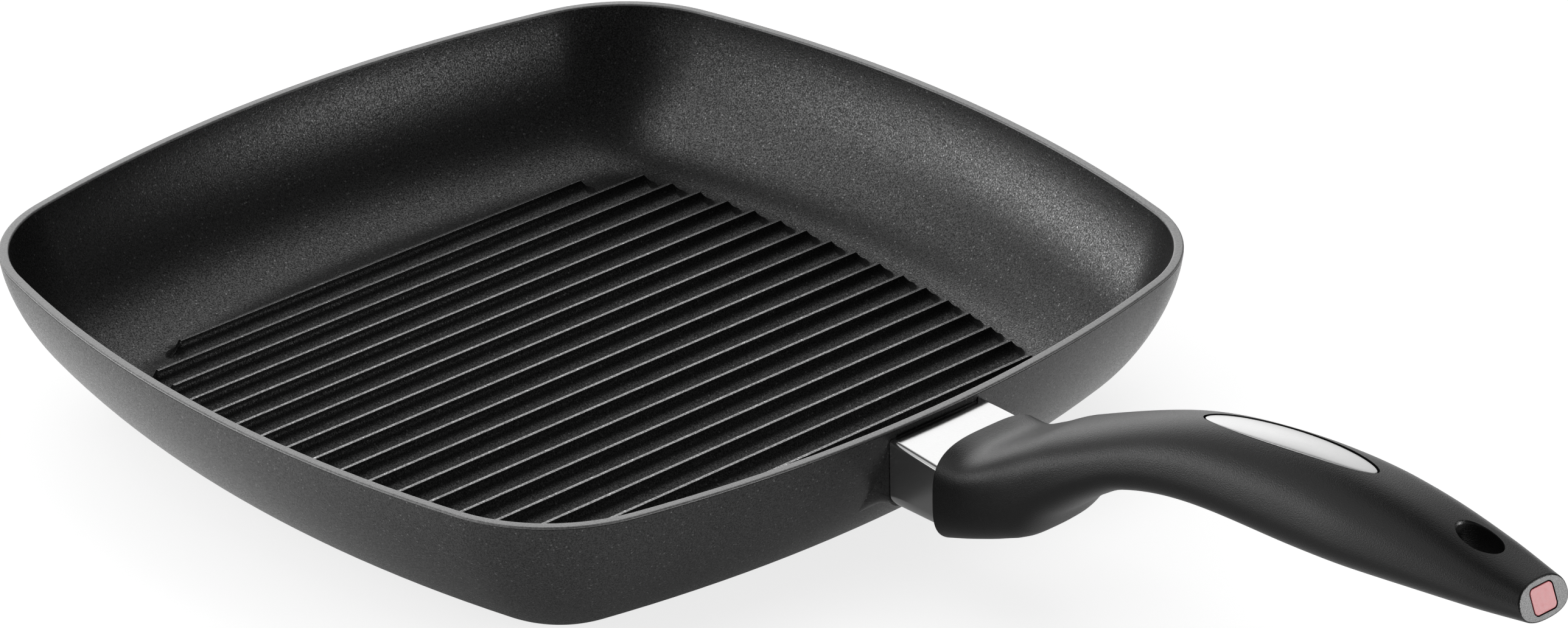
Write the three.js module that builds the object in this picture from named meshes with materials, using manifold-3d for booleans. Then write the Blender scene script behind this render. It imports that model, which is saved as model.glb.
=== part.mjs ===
// Square grill pan with a lock-on handle, in millimetres.
// The origin is the centre of the base on the table. +X runs along the handle, +Y along the ribs, +Z is up.

import * as THREE from 'three';
import { mergeVertices } from 'three/addons/utils/BufferGeometryUtils.js';
import Module from 'manifold-3d';

const wasm = await Module();
wasm.setup();

// Pan outline: a square with bowed sides and round corners
const PAN_HALF = 137;
const PAN_HEIGHT = 46;
const SIDE_RADIUS = 388;
const CORNER_RADIUS = 44;
const CORNER_SHRINK = 0.82;
const SIDE_STEPS = 8;
const CORNER_STEPS = 6;

// Pan wall, as insets from the rim: the outside curves down to the flat base, the inside to the floor
const BASE_INSET = 31.3;
const BELLY = { inset: 12.7, height: 9.6 };
const SHOULDER = { inset: 1.1, height: 32 };
const RIM_WIDTH = 2.7;
const RIM_ROUND = 0.5;
const FLOOR_HEIGHT = 5.3;
const FLOOR_INSET = 37;
const WELL_BELLY_INSET = 17.5;
const WELL_SHOULDER = { inset: 4.1, height: 30.5 };
const WALL_STEPS = 10;

// Grill ribs: narrow crests between round grooves, running down in a hollow sweep at both ends
const RIB_COUNT = 19;
const RIB_PITCH = 10.04;
const RIB_HEIGHT = 4;
const RIB_CREST = 0.9;
const RIB_ROOT = 1;
const RIB_FOOT_DROP = 0.05;
const RIB_END_INSET = 38.9;
const RIB_END_RUN = 5;
const RIB_END_POWER = 1.7;
const RIB_END_STEPS = 3;
const GROOVE_FOOT_ANGLE = 0.07;
const GROOVE_STEPS = 5;

// Boss cast on the wall, with the flat that the ferrule seats on
const BOSS_FACE = 136.1;
const BOSS_HALF_WIDTH = 17;
const BOSS_BOTTOM = 22.8;
const BOSS_TOP = 43.4;
const BOSS_DEPTH = 11;
const BOSS_FLARE = 5;
const BOSS_FLARE_POWER = 2.5;
const BOSS_STEPS = 4;
const BOSS_ROUND = 4;
const FLAT_HALF_WIDTH = 14.6;
const FLAT_TOP = 44.4;

// Tang behind the boss, with the notch that the lock spring catches
const TANG_HALF_WIDTH = 8;
const TANG_BOTTOM = 30;
const TANG_TOP = 38;
const TANG_END = 176;
const TANG_CHAMFER = 2;
const TANG_ROOT = 2;
const NOTCH_X = 168.4;
const NOTCH_HALF = 1.5;
const NOTCH_DEPTH = 1.5;

// Ferrule: a steel sleeve that grows wider and lower towards the handle
const FERRULE_PAN_END = { x: 136.4, halfWidth: 17, top: 42.8, bottom: 23.3 };
const FERRULE_GRIP_END = { x: 160.5, halfWidth: 17.9, top: 41.9, bottom: 24.2 };
const FERRULE_ROUND = 3.5;
const FERRULE_WALL = 1.2;
const SLEEVE_STEPS = 5;

// Handle, as lines of [distance along X, value]: top, underside, half width and squareness of the section
const GRIP_START = 154.6;
const GRIP_END = 342;
const GRIP_TOP = [[154.6, 48.2], [163, 47.2], [174, 53.6], [188, 62], [222, 76.8], [245, 83], [275, 86.5],
  [305, 84.6], [342, 77.6]];
const GRIP_UNDERSIDE = [[154.6, 19], [165, 22.8], [174, 26.1], [181, 29.4], [187, 36.4], [193, 41.4],
  [200, 46.8], [212, 53.8], [235, 59.1], [275, 61.8], [315, 65.5], [342, 68.1]];
const GRIP_HALF_WIDTH = [[154.6, 19.5], [168, 19.2], [190, 16], [212, 13.3], [232, 13.1], [272, 14.7],
  [292, 14.9], [325, 11.7], [342, 8.5]];
const GRIP_SQUARENESS = [[154.6, 3.3], [172, 3.1], [190, 2.6], [215, 2.4], [342, 2.4]];
const GRIP_STEP = 7;
const GRIP_SIDES = 36;
const GRIP_EDGE = 0.9;
const END_LEAN = 0.4;
const END_LEAN_START = 300;

// Hanging hole through the tail of the handle
const HOLE_X = 321.5;
const HOLE_HALF_LENGTH = 6.6;
const HOLE_HALF_WIDTH = 4.3;
const HOLE_FLARE = 1.2;
const OVAL_SIDES = 32;

// Lock spring, a bent strip above the tang
const SPRING_HALF_WIDTH = 4.5;
const SPRING_THICKNESS = 0.8;
const SPRING_LINE = 43.5;
const SPRING_TIP = 37.6;
const SPRING_FRONT = 163;
const SPRING_BACK = 179.4;
const SPRING_TOOTH = 2.6;

// Oval plate let into the top of the handle
const BADGE_X = 260.2;
const BADGE_HALF_LENGTH = 28.2;
const BADGE_HALF_WIDTH = 4.7;
const BADGE_SUNK = 0.4;
const BADGE_THICKNESS = 1.2;
const BADGE_MARGIN = 0.6;
const BADGE_REACH = 12;

// Rounded plate let into the end of the handle
const INLAY_HALF_WIDTH = 3.9;
const INLAY_HALF_HEIGHT = 3.3;
const INLAY_ROUND = 1.3;
const INLAY_THICKNESS = 1;

// Clearance between pieces that touch
const GAP = 0.3;

// How far a cutting shape stands out past the face that it cuts
const OVERCUT = 2;

const UPRIGHT = new THREE.Vector3(0, 0, 1);
const ROUND_MIDDLE = 1 - Math.SQRT1_2;

const COATED_ALUMINIUM = { color: 0x2b2b2c, roughness: 0.55, metalness: 0.4 };
const SATIN_STEEL = { color: 0xc9c9c8, roughness: 0.3, metalness: 1 };
const BLACK_PHENOLIC = { color: 0x1b1b1b, roughness: 0.5, metalness: 0 };
const SPRING_STEEL = { color: 0x8f9296, roughness: 0.35, metalness: 1 };
const RED_PLASTIC = { color: 0xb5454b, roughness: 0.4, metalness: 0 };

// Turns a closed geometry into a solid that can be joined and cut.
function solid(geometry) {
  const bare = geometry.clone();
  bare.deleteAttribute('normal');
  bare.deleteAttribute('uv');
  const welded = mergeVertices(bare);
  const vertProperties = new Float32Array(welded.attributes.position.array);
  const triVerts = new Uint32Array(welded.index.array);
  return new wasm.Manifold(new wasm.Mesh({ numProp: 3, vertProperties, triVerts }));
}

// Turns a solid back into a geometry.
function geometryOf(body) {
  const mesh = body.getMesh();
  const geometry = new THREE.BufferGeometry();
  geometry.setAttribute('position', new THREE.BufferAttribute(mesh.vertProperties, 3));
  geometry.setIndex(new THREE.BufferAttribute(mesh.triVerts, 1));
  geometry.computeVertexNormals();
  return geometry;
}

function named(name, geometry, finish) {
  const mesh = new THREE.Mesh(geometry, new THREE.MeshStandardMaterial(finish));
  mesh.name = name;
  return mesh;
}

// Skins a row of rings with equal point counts. A hollow loft joins its last ring to its first, and a plain
// one is capped at both ends.
function loft(rings, hollow = false) {
  const count = rings[0].length;
  const points = rings.flat();
  const index = [];
  const spans = hollow ? rings.length : rings.length - 1;
  for (let i = 0; i < spans; i += 1) {
    const here = i * count;
    const next = ((i + 1) % rings.length) * count;
    for (let j = 0; j < count; j += 1) {
      const k = (j + 1) % count;
      index.push(here + j, here + k, next + k, here + j, next + k, next + j);
    }
  }
  if (!hollow) {
    const first = points.length;
    const last = (rings.length - 1) * count;
    points.push(centreOf(rings[0]), centreOf(rings.at(-1)));
    for (let j = 0; j < count; j += 1) {
      const k = (j + 1) % count;
      index.push(first, k, j, first + 1, last + j, last + k);
    }
  }
  const geometry = new THREE.BufferGeometry().setFromPoints(points);
  geometry.setIndex(index);
  return geometry;
}

function centreOf(ring) {
  const centre = new THREE.Vector3();
  ring.forEach((point) => centre.add(point));
  return centre.divideScalar(ring.length);
}

// A smooth line through a few stations, read at any distance along X.
function lineAt(stations, x) {
  const last = stations.length - 1;
  const found = stations.findIndex((station, i) => i < last && x <= stations[i + 1][0]);
  const i = found < 0 ? last - 1 : found;
  const slope = (k) => {
    const [x0, v0] = stations[Math.max(k - 1, 0)];
    const [x1, v1] = stations[Math.min(k + 1, last)];
    return (v1 - v0) / (x1 - x0);
  };
  const [xa, va] = stations[i];
  const [xb, vb] = stations[i + 1];
  const span = xb - xa;
  const t = (x - xa) / span;
  const start = (1 + 2 * t) * (1 - t) ** 2 * va + t * (1 - t) ** 2 * span * slope(i);
  const end = t * t * (3 - 2 * t) * vb + t * t * (t - 1) * span * slope(i + 1);
  return start + end;
}

// The pan's outline at one height, drawn in from the rim: a shallow arc on each side, a round at each corner.
function panRing(inset, z) {
  const sideRadius = SIDE_RADIUS - inset;
  const cornerRadius = CORNER_RADIUS - CORNER_SHRINK * inset;
  const sideCentre = PAN_HALF - SIDE_RADIUS;
  const reach = sideRadius - cornerRadius;
  const cornerCentre = (sideCentre + Math.sqrt(2 * reach ** 2 - sideCentre ** 2)) / 2;
  const sideAngle = Math.atan2(cornerCentre, cornerCentre - sideCentre);
  const side = [];
  for (let i = 0; i < SIDE_STEPS; i += 1) {
    const angle = sideAngle * ((2 * i) / SIDE_STEPS - 1);
    side.push([sideCentre + sideRadius * Math.cos(angle), sideRadius * Math.sin(angle)]);
  }
  for (let i = 0; i < CORNER_STEPS; i += 1) {
    const angle = sideAngle + ((Math.PI / 2 - 2 * sideAngle) * i) / CORNER_STEPS;
    const x = cornerCentre + cornerRadius * Math.cos(angle);
    side.push([x, cornerCentre + cornerRadius * Math.sin(angle)]);
  }
  const ring = [];
  for (let quarter = 0; quarter < 4; quarter += 1) {
    const turn = (quarter * Math.PI) / 2;
    side.forEach(([x, y]) => ring.push(new THREE.Vector3(x, y, z).applyAxisAngle(UPRIGHT, turn)));
  }
  return ring;
}

// A rounded rectangle across X, counted from +Y towards +Z.
function sleeveRing({ x, halfWidth, top, bottom }, round) {
  const ring = [];
  const corners = [[1, 1, 0], [-1, 1, 1], [-1, -1, 2], [1, -1, 3]];
  corners.forEach(([ySide, zSide, quarter]) => {
    const y = ySide * (halfWidth - round);
    const z = zSide > 0 ? top - round : bottom + round;
    for (let i = 0; i <= SLEEVE_STEPS; i += 1) {
      const angle = (Math.PI / 2) * (quarter + i / SLEEVE_STEPS);
      ring.push(new THREE.Vector3(x, y + round * Math.cos(angle), z + round * Math.sin(angle)));
    }
  });
  return ring;
}

function grown({ x, halfWidth, top, bottom }, by) {
  return { x, halfWidth: halfWidth + by, top: top + by, bottom: bottom - by };
}

// Wall of the pan from the base up to the rim, as [inset, height]
function wallProfile() {
  const curve = new THREE.CubicBezierCurve(
    new THREE.Vector2(BASE_INSET, 0),
    new THREE.Vector2(BELLY.inset, BELLY.height),
    new THREE.Vector2(SHOULDER.inset, SHOULDER.height),
    new THREE.Vector2(0, PAN_HEIGHT - RIM_ROUND),
  );
  const profile = curve.getPoints(WALL_STEPS);
  const round = RIM_ROUND * ROUND_MIDDLE;
  profile.push(new THREE.Vector2(round, PAN_HEIGHT - round));
  profile.push(new THREE.Vector2(RIM_ROUND, PAN_HEIGHT));
  return profile;
}

// Inside of the pan from the floor up through the rim
function wellProfile() {
  const curve = new THREE.CubicBezierCurve(
    new THREE.Vector2(FLOOR_INSET, FLOOR_HEIGHT),
    new THREE.Vector2(WELL_BELLY_INSET, FLOOR_HEIGHT),
    new THREE.Vector2(WELL_SHOULDER.inset, WELL_SHOULDER.height),
    new THREE.Vector2(RIM_WIDTH, PAN_HEIGHT - RIM_ROUND),
  );
  const profile = curve.getPoints(WALL_STEPS);
  const round = RIM_ROUND * ROUND_MIDDLE;
  profile.push(new THREE.Vector2(RIM_WIDTH - round, PAN_HEIGHT - round));
  profile.push(new THREE.Vector2(RIM_WIDTH - RIM_ROUND, PAN_HEIGHT));
  profile.push(new THREE.Vector2(RIM_WIDTH - RIM_ROUND, PAN_HEIGHT + OVERCUT));
  return profile;
}

const ringsOf = (profile) => profile.map((point) => panRing(point.x, point.y));

// Half length of a rib's crest at a distance across the ribs: it stops short of the nearest wall.
function ribReach(x) {
  const radius = SIDE_RADIUS - RIB_END_INSET;
  const sideCentre = PAN_HALF - SIDE_RADIUS;
  const toEndWall = sideCentre + Math.sqrt(radius ** 2 - x ** 2);
  const toSideWall = Math.sqrt(radius ** 2 - (Math.abs(x) - sideCentre) ** 2);
  return Math.min(toEndWall, toSideWall);
}

// One section of a rib, counted from its crest towards +X. Its sides are the rounds of the two grooves beside
// it, and near its ends it stands at a share of its height.
function ribRing(x, y, share) {
  const depth = RIB_HEIGHT + RIB_FOOT_DROP;
  const reach = (RIB_PITCH - RIB_CREST) / 2;
  const radius = (reach ** 2 + depth ** 2) / (2 * depth);
  const steep = Math.asin(reach / radius);
  const half = [];
  for (let i = 0; i <= GROOVE_STEPS; i += 1) {
    const angle = THREE.MathUtils.lerp(steep, GROOVE_FOOT_ANGLE, i / GROOVE_STEPS);
    const rise = share * radius * (1 - Math.cos(angle)) - RIB_FOOT_DROP;
    half.push([RIB_PITCH / 2 - radius * Math.sin(angle), rise]);
  }
  half.push([half.at(-1)[0], -RIB_ROOT]);
  const mirrored = half.map(([across, rise]) => [-across, rise]).reverse();
  const outline = [...half, ...mirrored];
  return outline.map(([across, rise]) => new THREE.Vector3(x + across, y, FLOOR_HEIGHT + rise));
}

function rib(x) {
  const reach = ribReach(x);
  const nearEnd = [];
  const farEnd = [];
  for (let i = 0; i <= RIB_END_STEPS; i += 1) {
    const out = i / RIB_END_STEPS;
    const y = reach + RIB_END_RUN * out;
    const share = (1 - out) ** RIB_END_POWER;
    nearEnd.unshift(ribRing(x, -y, share));
    farEnd.push(ribRing(x, y, share));
  }
  return solid(loft([...nearEnd, ...farEnd]));
}

// Ribs run the same way across the floor.
function ribs() {
  let comb = null;
  for (let i = 0; i < RIB_COUNT; i += 1) {
    const next = rib((i - (RIB_COUNT - 1) / 2) * RIB_PITCH);
    comb = comb ? comb.add(next) : next;
  }
  return comb;
}

// The boss flares out into the wall behind its flat face.
function boss() {
  const rings = [];
  for (let i = 0; i <= BOSS_STEPS; i += 1) {
    const out = i / BOSS_STEPS;
    const flare = BOSS_FLARE * (1 - out) ** BOSS_FLARE_POWER;
    const section = {
      x: BOSS_FACE - BOSS_DEPTH * (1 - out),
      halfWidth: BOSS_HALF_WIDTH + flare,
      top: BOSS_TOP,
      bottom: BOSS_BOTTOM - flare,
    };
    rings.push(sleeveRing(section, BOSS_ROUND));
  }
  return solid(loft(rings));
}

// A block given by its ends along X, its half width and its heights
function box(xFrom, xTo, halfWidth, bottom, top) {
  const geometry = new THREE.BoxGeometry(xTo - xFrom, 2 * halfWidth, top - bottom);
  geometry.translate((xFrom + xTo) / 2, 0, (bottom + top) / 2);
  return solid(geometry);
}

// The flat below the rim where the wall would stand out past the boss's face
function seatCut() {
  return box(BOSS_FACE, PAN_HALF + OVERCUT, FLAT_HALF_WIDTH, BOSS_BOTTOM, FLAT_TOP);
}

function tang() {
  const side = new THREE.Shape();
  side.moveTo(BOSS_FACE - TANG_ROOT, TANG_BOTTOM);
  side.lineTo(TANG_END - TANG_CHAMFER, TANG_BOTTOM);
  side.lineTo(TANG_END, TANG_BOTTOM + TANG_CHAMFER);
  side.lineTo(TANG_END, TANG_TOP - TANG_CHAMFER);
  side.lineTo(TANG_END - TANG_CHAMFER, TANG_TOP);
  side.lineTo(NOTCH_X + NOTCH_HALF, TANG_TOP);
  side.lineTo(NOTCH_X + NOTCH_HALF / 2, TANG_TOP - NOTCH_DEPTH);
  side.lineTo(NOTCH_X - NOTCH_HALF / 2, TANG_TOP - NOTCH_DEPTH);
  side.lineTo(NOTCH_X - NOTCH_HALF, TANG_TOP);
  side.lineTo(BOSS_FACE - TANG_ROOT, TANG_TOP);
  return solid(acrossY(side, TANG_HALF_WIDTH));
}

// Extrudes a shape drawn in X and Z evenly to both sides of Y = 0.
function acrossY(shape, halfWidth) {
  const geometry = new THREE.ExtrudeGeometry(shape, { depth: 2 * halfWidth, bevelEnabled: false });
  geometry.rotateX(Math.PI / 2);
  geometry.translate(0, halfWidth, 0);
  return geometry;
}

function panBody() {
  const outside = solid(loft(ringsOf(wallProfile())));
  const well = solid(loft(ringsOf(wellProfile())));
  const casting = outside.add(boss()).subtract(seatCut()).subtract(well);
  return geometryOf(casting.add(ribs()).add(tang()));
}

function ferrule() {
  const inner = FERRULE_ROUND - FERRULE_WALL;
  return loft([
    sleeveRing(FERRULE_PAN_END, FERRULE_ROUND),
    sleeveRing(FERRULE_GRIP_END, FERRULE_ROUND),
    sleeveRing(grown(FERRULE_GRIP_END, -FERRULE_WALL), inner),
    sleeveRing(grown(FERRULE_PAN_END, -FERRULE_WALL), inner),
  ], true);
}

// One cross-section of the handle. The tail leans so that its end face looks a little upwards.
function gripRing(x, shrink) {
  const top = lineAt(GRIP_TOP, x) - shrink;
  const bottom = lineAt(GRIP_UNDERSIDE, x) + shrink;
  const halfWidth = lineAt(GRIP_HALF_WIDTH, x) - shrink;
  const power = 2 / lineAt(GRIP_SQUARENESS, x);
  const middle = (top + bottom) / 2;
  const lean = END_LEAN * THREE.MathUtils.smoothstep(x, END_LEAN_START, GRIP_END);
  const ring = [];
  for (let i = 0; i < GRIP_SIDES; i += 1) {
    const angle = (2 * Math.PI * i) / GRIP_SIDES;
    const across = Math.sign(Math.cos(angle)) * Math.abs(Math.cos(angle)) ** power;
    const rise = Math.sign(Math.sin(angle)) * Math.abs(Math.sin(angle)) ** power * (top - middle);
    ring.push(new THREE.Vector3(x - lean * rise, halfWidth * across, middle + rise));
  }
  return ring;
}

// The handle's outside, or a copy of it drawn in by a depth all over
function gripSolid(depth = 0) {
  const rings = [gripRing(GRIP_START, depth + GRIP_EDGE)];
  for (let x = GRIP_START + GRIP_EDGE; x < GRIP_END - GRIP_STEP / 2; x += GRIP_STEP) {
    rings.push(gripRing(x, depth));
  }
  rings.push(gripRing(GRIP_END - GRIP_EDGE, depth));
  rings.push(gripRing(GRIP_END, depth + GRIP_EDGE));
  return solid(loft(rings));
}

// Socket in the handle's front: a seat for the ferrule, a slot for the tang and a pocket for the lock spring
function socket() {
  const mouth = { ...FERRULE_PAN_END, x: GRIP_START - OVERCUT };
  const along = (mouth.x - FERRULE_PAN_END.x) / (FERRULE_GRIP_END.x - FERRULE_PAN_END.x);
  ['halfWidth', 'top', 'bottom'].forEach((size) => {
    mouth[size] = THREE.MathUtils.lerp(FERRULE_PAN_END[size], FERRULE_GRIP_END[size], along);
  });
  const floor = { ...FERRULE_GRIP_END, x: FERRULE_GRIP_END.x + GAP };
  const seat = solid(loft([
    sleeveRing(grown(mouth, GAP), FERRULE_ROUND + GAP),
    sleeveRing(grown(floor, GAP), FERRULE_ROUND + GAP),
  ]));
  const front = floor.x - OVERCUT;
  const slot = box(front, TANG_END + GAP, TANG_HALF_WIDTH + GAP, TANG_BOTTOM - GAP, TANG_TOP + GAP);
  const pocketTop = SPRING_LINE + SPRING_THICKNESS / 2 + GAP;
  const pocket = box(front, SPRING_BACK + GAP, SPRING_HALF_WIDTH + GAP, TANG_TOP, pocketTop);
  return seat.add(slot).add(pocket);
}

// An upright oval column through levels of [height at its middle, growth, slope along X]
function ovalColumn(x, halfLength, halfWidth, levels) {
  const rings = levels.map(([z, growth, slope]) => {
    const ring = [];
    for (let i = 0; i < OVAL_SIDES; i += 1) {
      const angle = (2 * Math.PI * i) / OVAL_SIDES;
      const along = (halfLength + growth) * Math.cos(angle);
      ring.push(new THREE.Vector3(x + along, (halfWidth + growth) * Math.sin(angle), z + slope * along));
    }
    return ring;
  });
  return solid(loft(rings));
}

// The hole's edges are rounded over where it meets the top and the underside.
function hangingHole() {
  const rim = (line, outward) => {
    const z = lineAt(line, HOLE_X);
    const slope = (lineAt(line, HOLE_X + 1) - lineAt(line, HOLE_X - 1)) / 2;
    const edge = [
      [OVERCUT, 2 * HOLE_FLARE],
      [0, HOLE_FLARE],
      [-HOLE_FLARE, HOLE_FLARE / 4],
      [-2 * HOLE_FLARE, 0],
    ];
    return edge.map(([out, growth]) => [z + outward * out, growth, slope]);
  };
  const levels = [...rim(GRIP_UNDERSIDE, -1), ...rim(GRIP_TOP, 1).reverse()];
  return ovalColumn(HOLE_X, HOLE_HALF_LENGTH, HOLE_HALF_WIDTH, levels);
}

// An oval column that reaches above and below the handle's top at the badge
function badgeColumn(growth) {
  const top = lineAt(GRIP_TOP, BADGE_X);
  const levels = [[top - BADGE_REACH, growth, 0], [top + BADGE_REACH, growth, 0]];
  return ovalColumn(BADGE_X, BADGE_HALF_LENGTH, BADGE_HALF_WIDTH, levels);
}

function badgePlate() {
  const face = gripSolid(BADGE_SUNK);
  const back = gripSolid(BADGE_SUNK + BADGE_THICKNESS);
  return geometryOf(badgeColumn(0).intersect(face).subtract(back));
}

function badgeRecess() {
  return badgeColumn(BADGE_MARGIN).subtract(gripSolid(BADGE_SUNK + BADGE_THICKNESS + GAP));
}

// A rounded plate at the tail, its face square to the leaning end of the handle
function inlayBlock(growth, depth, sunk) {
  const halfWidth = INLAY_HALF_WIDTH + growth;
  const halfHeight = INLAY_HALF_HEIGHT + growth;
  const round = INLAY_ROUND + growth;
  const outline = new THREE.Shape();
  outline.absarc(halfWidth - round, halfHeight - round, round, 0, Math.PI / 2);
  outline.absarc(round - halfWidth, halfHeight - round, round, Math.PI / 2, Math.PI);
  outline.absarc(round - halfWidth, round - halfHeight, round, Math.PI, 1.5 * Math.PI);
  outline.absarc(halfWidth - round, round - halfHeight, round, 1.5 * Math.PI, 2 * Math.PI);
  const geometry = new THREE.ExtrudeGeometry(outline, { depth, bevelEnabled: false, curveSegments: 4 });
  geometry.translate(0, 0, -sunk - depth);
  geometry.rotateX(Math.PI / 2);
  geometry.rotateZ(Math.PI / 2);
  geometry.rotateY(-Math.atan(END_LEAN));
  const middle = (lineAt(GRIP_TOP, GRIP_END) + lineAt(GRIP_UNDERSIDE, GRIP_END)) / 2;
  geometry.translate(GRIP_END, 0, middle);
  return geometry;
}

function handleGrip() {
  const pocket = solid(inlayBlock(GAP, INLAY_THICKNESS + GAP + OVERCUT, -OVERCUT));
  const cut = gripSolid().subtract(socket()).subtract(hangingHole()).subtract(badgeRecess());
  return geometryOf(cut.subtract(pocket));
}

// The spring lies along the roof of its pocket and dips in a tooth that drops into the tang's notch.
function lockSpring() {
  const half = SPRING_THICKNESS / 2;
  const middle = [
    [SPRING_FRONT, SPRING_LINE],
    [NOTCH_X - SPRING_TOOTH, SPRING_LINE],
    [NOTCH_X - half, SPRING_TIP],
    [NOTCH_X + half, SPRING_TIP],
    [NOTCH_X + SPRING_TOOTH, SPRING_LINE],
    [SPRING_BACK, SPRING_LINE],
  ].map(([x, z]) => new THREE.Vector2(x, z));
  const above = [];
  const below = [];
  middle.forEach((point, i) => {
    const before = middle[Math.max(i - 1, 0)];
    const after = middle[Math.min(i + 1, middle.length - 1)];
    const along = after.clone().sub(before).normalize();
    const across = new THREE.Vector2(-along.y, along.x).multiplyScalar(half);
    above.push(point.clone().add(across));
    below.push(point.clone().sub(across));
  });
  return acrossY(new THREE.Shape([...below, ...above.reverse()]), SPRING_HALF_WIDTH);
}

const pan = new THREE.Group();
pan.add(named('pan_body', panBody(), COATED_ALUMINIUM));
pan.add(named('ferrule', ferrule(), SATIN_STEEL));
pan.add(named('handle_grip', handleGrip(), BLACK_PHENOLIC));
pan.add(named('lock_spring', lockSpring(), SPRING_STEEL));
pan.add(named('badge_plate', badgePlate(), SATIN_STEEL));
pan.add(named('end_inlay', inlayBlock(0, INLAY_THICKNESS, 0), RED_PLASTIC));

export default pan;
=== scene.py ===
import math

import bmesh
import bpy
from mathutils import Matrix, Vector


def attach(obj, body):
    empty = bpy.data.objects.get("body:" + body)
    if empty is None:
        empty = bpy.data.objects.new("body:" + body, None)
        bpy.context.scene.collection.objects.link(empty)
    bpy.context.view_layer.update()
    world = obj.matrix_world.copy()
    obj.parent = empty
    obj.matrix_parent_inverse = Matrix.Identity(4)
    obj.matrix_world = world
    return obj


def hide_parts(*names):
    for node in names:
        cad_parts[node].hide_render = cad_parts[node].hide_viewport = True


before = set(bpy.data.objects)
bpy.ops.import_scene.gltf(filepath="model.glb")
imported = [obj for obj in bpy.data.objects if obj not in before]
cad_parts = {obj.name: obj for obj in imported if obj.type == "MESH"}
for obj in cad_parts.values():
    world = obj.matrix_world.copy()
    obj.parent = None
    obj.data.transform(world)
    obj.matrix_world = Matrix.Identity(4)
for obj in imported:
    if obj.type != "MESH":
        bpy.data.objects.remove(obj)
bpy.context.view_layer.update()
scene = bpy.context.scene
scene.view_settings.view_transform = "Standard"

# Camera
# A long lens in front of the pan's near corner and a little above its rim, with the handle coming forward to
# the right, as in a catalogue picture.
CAMERA_TARGET = Vector((0.068822, 0.008563, 0.046))
CAMERA_DISTANCE = 1.6761
CAMERA_AZIMUTH = math.radians(47.959)
CAMERA_ELEVATION = math.radians(26.828)
CAMERA_ROLL = math.radians(-1.077)
CAMERA_LENS = 145.09
SENSOR_WIDTH = 36

across = Vector((math.cos(CAMERA_AZIMUTH), math.sin(CAMERA_AZIMUTH), 0))
back = Vector((
    math.sin(CAMERA_AZIMUTH) * math.cos(CAMERA_ELEVATION),
    -math.cos(CAMERA_AZIMUTH) * math.cos(CAMERA_ELEVATION),
    math.sin(CAMERA_ELEVATION),
))
upward = back.cross(across)
right = math.cos(CAMERA_ROLL) * across + math.sin(CAMERA_ROLL) * upward
top = math.cos(CAMERA_ROLL) * upward - math.sin(CAMERA_ROLL) * across
bpy.ops.object.select_all(action="DESELECT")
bpy.ops.object.camera_add()
camera = bpy.context.object
camera.data.lens = CAMERA_LENS
camera.data.sensor_fit = "HORIZONTAL"
camera.data.sensor_width = SENSOR_WIDTH
camera.matrix_world = (
    Matrix.Translation(CAMERA_TARGET + CAMERA_DISTANCE * back)
    @ Matrix((right, top, back)).transposed().to_4x4()
)
scene.camera = camera

# Pan
# One aluminium casting with a dark speckled non-stick coating: flat base, bowed walls, a machined rim, grill
# ribs across the floor, a boss on one wall and the tang that the handle slides on. Points on its walls are an
# inset from the rim and a height.
PAN_HALF = 0.137
PAN_HEIGHT = 0.046
SIDE_RADIUS = 0.388
CORNER_RADIUS = 0.044
CORNER_SHRINK = 0.82
SIDE_STEPS = 24
CORNER_STEPS = 18
BASE_INSET = 0.0313
BASE_ROUND = 0.0008
BELLY = Vector((0.0127, 0.0096))
SHOULDER = Vector((0.0011, 0.032))
RIM_WIDTH = 0.0027
RIM_ROUND = 0.0005
RIM_STEPS = 4
COAT_EDGE_WIDTH = 0.00022
COAT_EDGE_DEPTH = 0.00012
FLOOR_HEIGHT = 0.0053
FLOOR_INSET = 0.037
WELL_BELLY = Vector((0.0175, 0.0053))
WELL_SHOULDER = Vector((0.0051, 0.0305))
WALL_STEPS = 30
# The last two zones are painted light: the crest zone is a painted highlight, and the groove zone on the rib
# sides is painted shade.
OUTSIDE, RIM, INSIDE, CREST_HIGHLIGHT, GROOVE_SHADE = range(5)

NOISE_SPAN = (0.3, 0.7)
GRAIN_SCALE = 2300
GRAIN_SPAN = (0.34, 0.66)
GRAIN_MATT = 0.07
GRAIN_TOOTH = (0.3, 0.00015)
SPECK_SCALE = 1300
SPECK_CHOICE = (0.86, 1.0)
SPECK_EDGE = (0.2, 0.45)
SPECK_GAIN = 2.2
MIX_FACTOR, MIX_FIRST, MIX_SECOND, MIX_RESULT = 0, 6, 7, 2


def finish_of(name):
    """A new material with its node tree and shader."""
    material = bpy.data.materials.new(name)
    material.use_nodes = True
    tree = material.node_tree
    return material, tree, tree.nodes["Principled BSDF"]


def texture(tree, kind, scale, **inputs):
    """A texture node on the piece's own coordinates."""
    node = tree.nodes.new(kind)
    node.inputs["Scale"].default_value = scale
    for socket, value in inputs.items():
        node.inputs[socket].default_value = value
    coordinates = tree.nodes.new("ShaderNodeTexCoord")
    tree.links.new(coordinates.outputs["Object"], node.inputs["Vector"])
    return node


def opaque(tone):
    """A full colour from a grey value or from red, green and blue."""
    return (*tone, 1.0) if isinstance(tone, tuple) else (tone, tone, tone, 1.0)


def ramp(tree, source, span, tones):
    """Runs from one tone to another as a value crosses a span."""
    node = tree.nodes.new("ShaderNodeValToRGB")
    for element, position, tone in zip(node.color_ramp.elements, span, tones):
        element.position = position
        element.color = opaque(tone)
    tree.links.new(source, node.inputs["Fac"])
    return node.outputs["Color"]


def feed(tree, sockets, values):
    """Gives each socket its value, or a link where the value is another node's output."""
    for socket, value in zip(sockets, values):
        if isinstance(value, bpy.types.NodeSocket):
            tree.links.new(value, socket)
        else:
            socket.default_value = value


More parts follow.
